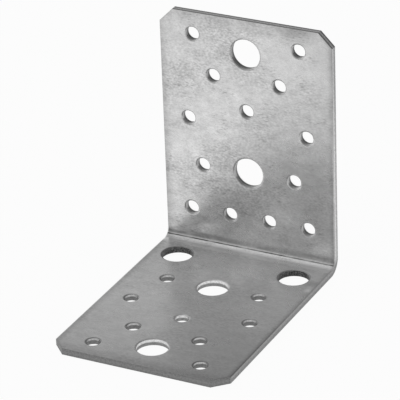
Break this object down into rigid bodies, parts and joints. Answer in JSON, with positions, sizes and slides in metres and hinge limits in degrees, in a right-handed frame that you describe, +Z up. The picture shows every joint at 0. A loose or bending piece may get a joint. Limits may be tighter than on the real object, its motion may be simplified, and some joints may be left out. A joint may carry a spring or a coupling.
{
  "type": "angle bracket",
  "caption": "Right-angled timber bracket bent from punched, galvanised steel sheet, with nail and bolt holes in both legs.",
  "frame": {"origin": "middle of the base leg's underside", "axes": "+X along the bend, +Y towards the back of the upright leg, so the base leg points to -Y, +Z up the upright leg"},
  "size_m": [0.065, 0.09, 0.09],
  "materials": {
    "galvanised_sheet": "hot-dip galvanised, satin, fine mottle"
  },
  "bodies": {
    "root": {"bracket": "galvanised_sheet"}
  },
  "joints": []
}
